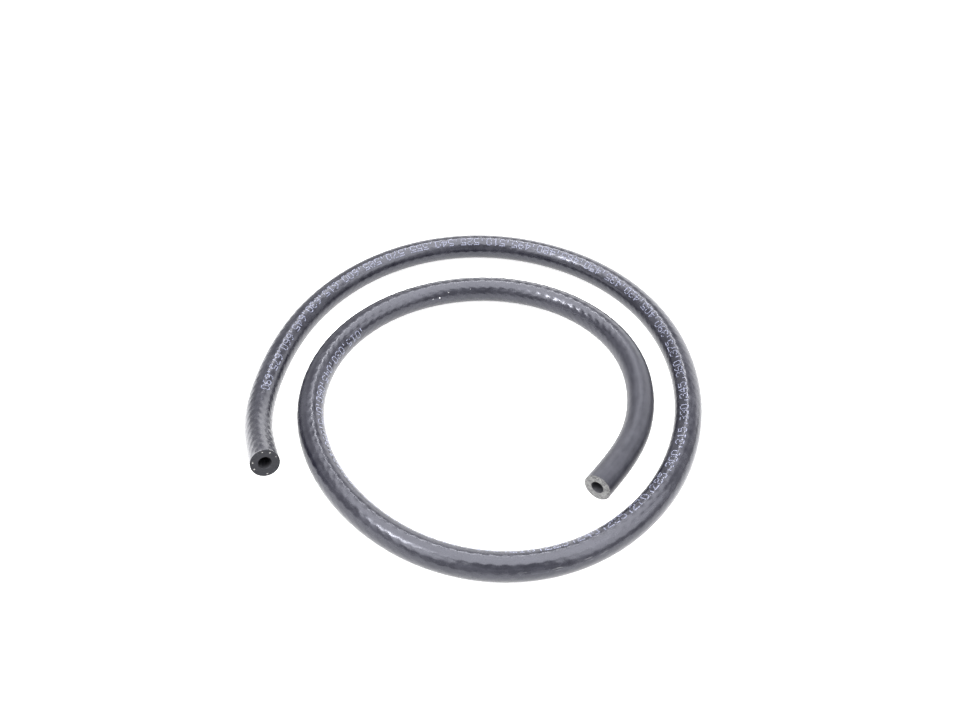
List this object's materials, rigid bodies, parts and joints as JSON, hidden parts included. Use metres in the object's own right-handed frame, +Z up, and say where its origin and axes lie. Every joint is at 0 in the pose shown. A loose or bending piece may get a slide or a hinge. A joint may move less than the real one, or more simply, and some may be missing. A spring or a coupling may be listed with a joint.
{
  "type": "fuel hose",
  "caption": "Cut length of small-bore rubber fuel hose with a textile braid between inner tube and cover, plain cut ends, lying in a loose flat spiral.",
  "frame": {"origin": "on the floor, under the middle of the coil's outline", "axes": "+Z up from the floor through the flat coil, +X to the right and +Y away from the camera of the picture"},
  "size_m": [0.2179, 0.2245, 0.0266],
  "materials": {
    "inner_rubber": "matt black fuel-resistant rubber, freshly cut at the ends",
    "braid_yarn": "off-white braided yarn, seen only at the cut ends",
    "cover_rubber": "satin black rubber with the braid showing through as a faint criss-cross relief"
  },
  "bodies": {
    "root": {"inner_tube": "inner_rubber", "textile_braid": "braid_yarn", "outer_cover": "cover_rubber"}
  },
  "joints": []
}
